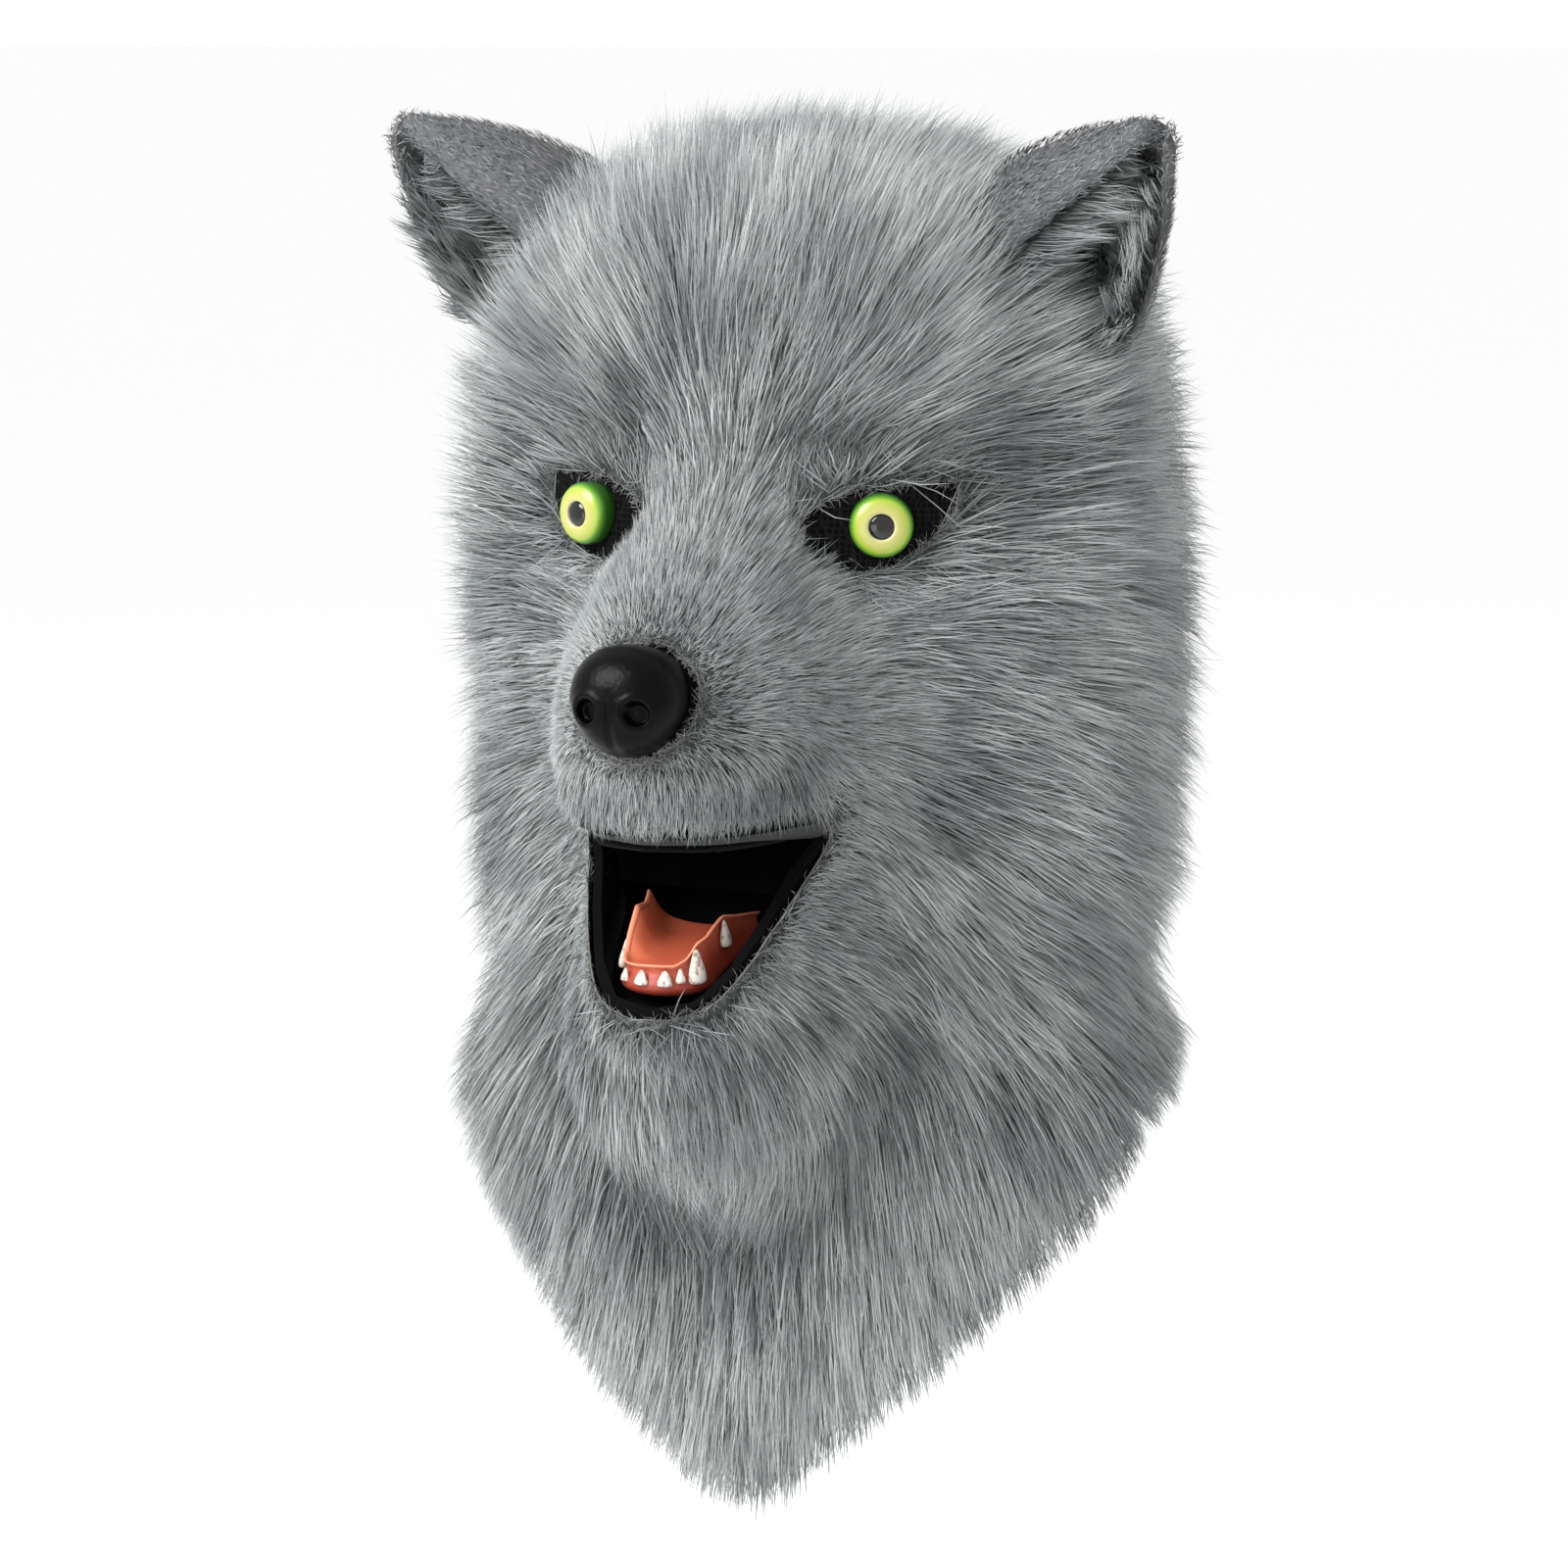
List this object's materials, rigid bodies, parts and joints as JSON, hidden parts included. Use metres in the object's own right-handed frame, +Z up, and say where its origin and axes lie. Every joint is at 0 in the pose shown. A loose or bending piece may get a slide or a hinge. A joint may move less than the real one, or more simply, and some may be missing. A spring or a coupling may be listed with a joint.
{
  "type": "werewolf mask",
  "caption": "Full-head wolf mask: a thin dark backing with deep grey fur, pointed cupped ears, green domed eyes, a black nose and an open mouth with an orange gum liner and teeth.",
  "frame": {"origin": "inside of the crown, where the mask sits on top of the wearer's head", "axes": "+Z up along the wearer's head, -Y the way the face looks, +X towards the mask's left ear, on the right of the picture"},
  "size_m": [0.2828, 0.3098, 0.46],
  "materials": {
    "black_backing": "matte",
    "grey_fur": "long pile",
    "ear_pile": "short pile",
    "socket_black": "matte",
    "black_gloss": "semi-gloss",
    "eye_green": "gloss",
    "pupil_black": "gloss",
    "gum": "satin paint",
    "tooth_white": "satin paint"
  },
  "bodies": {
    "root": {"hood_lining": "black_backing", "hood_fur": "grey_fur", "nose": "black_gloss", "palate": "black_backing", "jaw_shell": "black_backing", "jaw_liner": "gum", "ear_left": "ear_pile", "ear_tuft_left": "grey_fur", "socket_left": "socket_black", "eye_left": "eye_green", "pupil_left": "pupil_black", "tooth_incisor_inner_left": "tooth_white", "tooth_incisor_outer_left": "tooth_white", "tooth_canine_left": "tooth_white", "tooth_cheek_left": "tooth_white", "ear_right": "ear_pile", "ear_tuft_right": "grey_fur", "socket_right": "socket_black", "eye_right": "eye_green", "pupil_right": "pupil_black", "tooth_incisor_inner_right": "tooth_white", "tooth_incisor_outer_right": "tooth_white", "tooth_canine_right": "tooth_white", "tooth_cheek_right": "tooth_white"}
  },
  "joints": []
}
